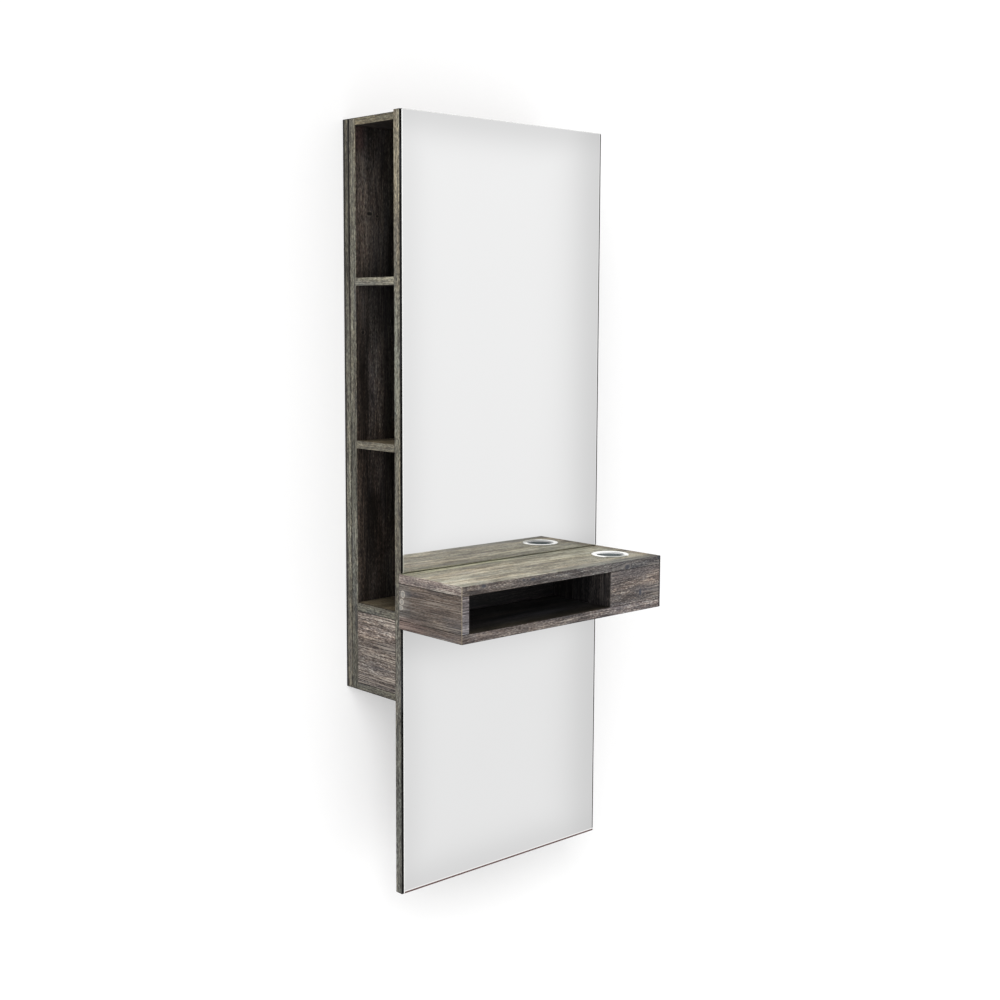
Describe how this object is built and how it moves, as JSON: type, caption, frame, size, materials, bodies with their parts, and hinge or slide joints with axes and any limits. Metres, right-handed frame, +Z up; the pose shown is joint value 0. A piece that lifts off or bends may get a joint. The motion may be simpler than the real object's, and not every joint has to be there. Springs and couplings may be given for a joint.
{
  "type": "wall-mounted styling station",
  "caption": "Wall-hung salon styling station: tall mirror board with shallow side-access shelves behind it and a wood-effect worktop box with a cubby and a steel tool holder.",
  "frame": {"origin": "centre of the four wall fixing holes, on the wall board's back face", "axes": "+X to the right as seen from the front, +Y back into the wall, +Z up"},
  "size_m": [0.65, 0.428, 1.8],
  "materials": {
    "carcass_board": "weathered grey-brown wood-effect melamine board with matching edge bands",
    "worktop_board": "weathered grey-brown wood-effect melamine board, grain along the length",
    "mirror_glass": "silvered float glass with polished edges",
    "bonding_tape": "black double-sided foam tape",
    "holder_steel": "polished flange with a brushed tube",
    "rail_metal": "mill-finish extruded aluminium",
    "fastener_steel": "zinc-plated steel",
    "cam_metal": "die-cast zinc",
    "insert_brass": "turned brass",
    "dowel_wood": "fluted beech dowel"
  },
  "bodies": {
    "root": {"wall_board": "carcass_board", "wall_rails": "rail_metal", "unit_rails": "rail_metal", "rail_screws": "fastener_steel", "back_panel": "carcass_board", "top_panel": "carcass_board", "bottom_panel": "carcass_board", "plinth_top": "carcass_board", "centre_divider": "carcass_board", "left_upper_shelf": "carcass_board", "left_lower_shelf": "carcass_board", "right_upper_shelf": "carcass_board", "right_lower_shelf": "carcass_board", "left_plinth_panel": "worktop_board", "right_plinth_panel": "worktop_board", "mirror_board": "carcass_board", "upper_mirror": "mirror_glass", "lower_mirror": "mirror_glass", "mirror_tape": "bonding_tape", "worktop_top": "worktop_board", "worktop_base": "worktop_board", "worktop_left_side": "worktop_board", "worktop_right_side": "worktop_board", "worktop_back": "worktop_board", "worktop_divider": "worktop_board", "worktop_front_panel": "worktop_board", "tool_holder": "holder_steel", "carcass_dowels": "dowel_wood", "cam_locks": "cam_metal", "cam_bolts": "fastener_steel", "worktop_dowels": "dowel_wood", "base_screws": "fastener_steel", "worktop_bolts": "fastener_steel", "bolt_washers": "fastener_steel", "threaded_inserts": "insert_brass"}
  },
  "joints": []
}
